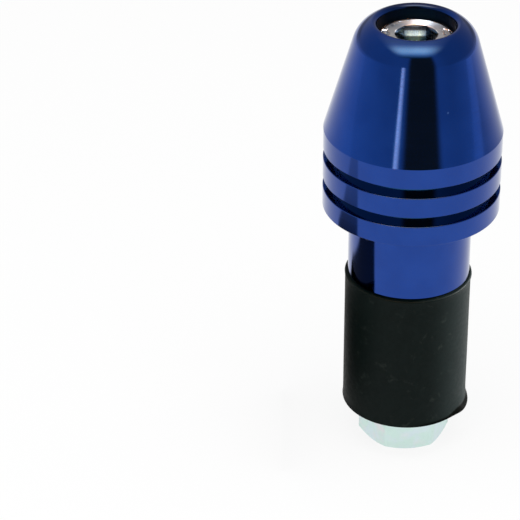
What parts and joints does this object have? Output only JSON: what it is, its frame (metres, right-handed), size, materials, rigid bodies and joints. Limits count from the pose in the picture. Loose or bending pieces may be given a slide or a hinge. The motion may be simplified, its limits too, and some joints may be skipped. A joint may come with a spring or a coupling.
{
  "type": "bar end weight",
  "caption": "Turned handlebar end weight: rounded conical nose and grooved collar, held in the bar by a rubber sleeve that a long socket head screw and nut expand.",
  "frame": {"origin": "centre of the collar's back face, which seats on the end of the bar", "axes": "+Z along the axis out of the bar, towards the nose; X and Y across it, with two corners of the key socket on X"},
  "size_m": [0.0237, 0.0236, 0.0629],
  "materials": {
    "anodised_blue": "turned, polished and anodised blue",
    "zinc_screw": "bright zinc plate, with small nicks at the rim of the head",
    "black_rubber": "matt moulded rubber with faint scuffs",
    "zinc_nut": "pale bluish zinc plate"
  },
  "bodies": {
    "root": {"weight_body": "anodised_blue", "cap_screw": "zinc_screw", "expander_sleeve": "black_rubber", "hex_nut": "zinc_nut"}
  },
  "joints": []
}
